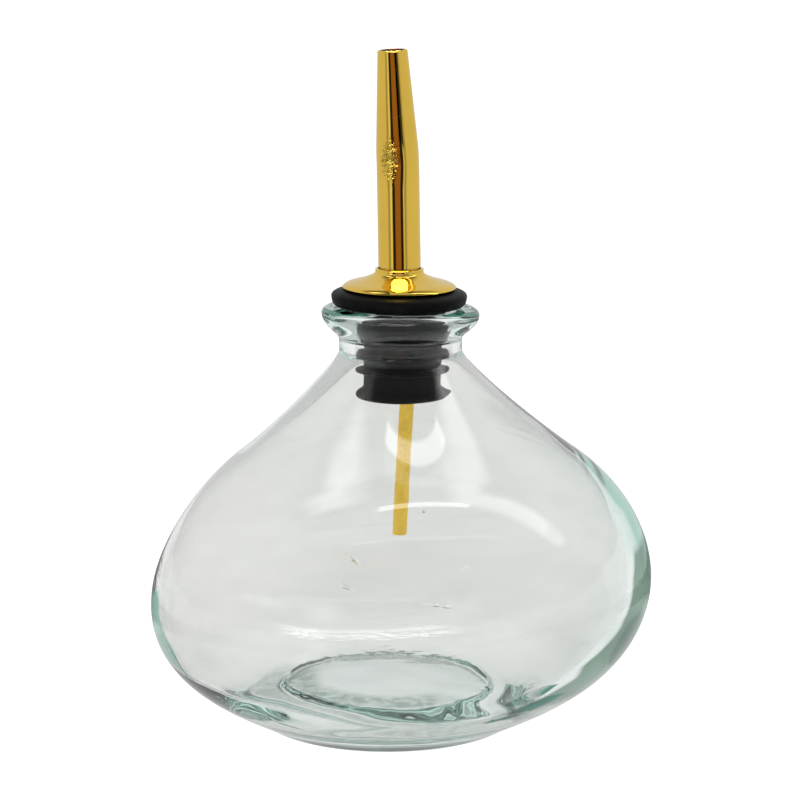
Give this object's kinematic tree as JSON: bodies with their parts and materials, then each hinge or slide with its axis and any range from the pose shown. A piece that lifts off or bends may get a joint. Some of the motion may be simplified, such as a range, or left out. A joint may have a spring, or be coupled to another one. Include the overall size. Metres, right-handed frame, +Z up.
{
  "type": "oil bottle with pourer",
  "caption": "Squat drop-shaped clear glass oil bottle, empty, with a finned rubber stopper, a domed gilt collar, a tapered pouring spout and a thin air tube.",
  "frame": {"origin": "bottom centre of the bottle's outline, on the surface it stands on", "axes": "+Z up along the spout, +X to the right in the view the picture shows, +Y away from the camera"},
  "size_m": [0.1126, 0.1124, 0.1507],
  "materials": {
    "glass": "smooth hand-blown greenish glass, slightly uneven, with a few seeds",
    "rubber": "satin black moulded rubber",
    "gilt_metal": "bright polished gold-coloured plating"
  },
  "bodies": {
    "root": {"bottle": "glass", "stopper": "rubber", "collar": "gilt_metal", "spout": "gilt_metal", "air_tube": "gilt_metal"}
  },
  "joints": []
}
